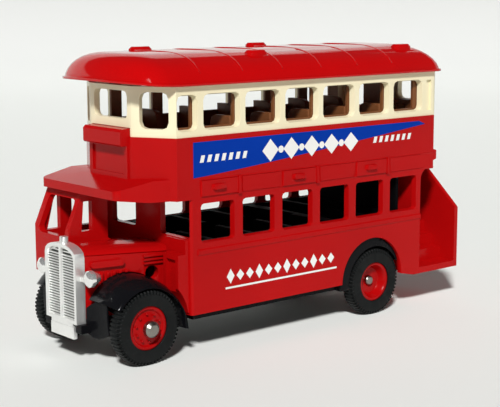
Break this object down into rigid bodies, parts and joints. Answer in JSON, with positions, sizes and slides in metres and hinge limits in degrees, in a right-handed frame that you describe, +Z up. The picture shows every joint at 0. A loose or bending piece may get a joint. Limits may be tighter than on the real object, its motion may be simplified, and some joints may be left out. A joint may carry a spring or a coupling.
{
  "type": "toy half-cab double decker bus",
  "caption": "Die-cast toy half-cab double decker bus with an open rear platform, outside stairs, radiator grille, window frame, seats and rolling wheels.",
  "frame": {"origin": "on the ground under the middle of the bounding box", "axes": "+X towards the radiator, +Y to the bus's left (kerb side, with the open platform), +Z up"},
  "size_m": [0.0744, 0.0254, 0.0453],
  "materials": {
    "red_enamel": "gloss",
    "red_gloss_plastic": "gloss",
    "cream_plastic": "satin",
    "brown_plastic": "satin",
    "black_plastic": "satin",
    "black_gloss_plastic": "gloss",
    "plated_plastic": "bright",
    "steel": "bright",
    "tyre_rubber": "matt"
  },
  "bodies": {
    "bus": {"body": "red_enamel", "roof": "red_gloss_plastic", "upper_window_frame": "cream_plastic", "upper_seats": "brown_plastic", "lower_saloon_insert": "black_plastic", "base": "black_gloss_plastic", "radiator": "plated_plastic"},
    "front_wheelset": {"axle_front": "steel", "hub_front_left": "red_gloss_plastic", "hub_front_right": "red_gloss_plastic", "tyre_front_left": "tyre_rubber", "tyre_front_right": "tyre_rubber"},
    "rear_wheelset": {"axle_rear": "steel", "hub_rear_left": "red_gloss_plastic", "hub_rear_right": "red_gloss_plastic", "tyre_rear_left": "tyre_rubber", "tyre_rear_right": "tyre_rubber"}
  },
  "joints": [
    {"name": "front_wheels_spin", "type": "hinge", "parent": "bus", "child": "front_wheelset", "pos_m": [0.0295, 0, 0.00556], "axis": [0, 1, 0], "continuous": true},
    {"name": "rear_wheels_spin", "type": "hinge", "parent": "bus", "child": "rear_wheelset", "pos_m": [-0.017, 0, 0.00556], "axis": [0, 1, 0], "continuous": true}
  ]
}
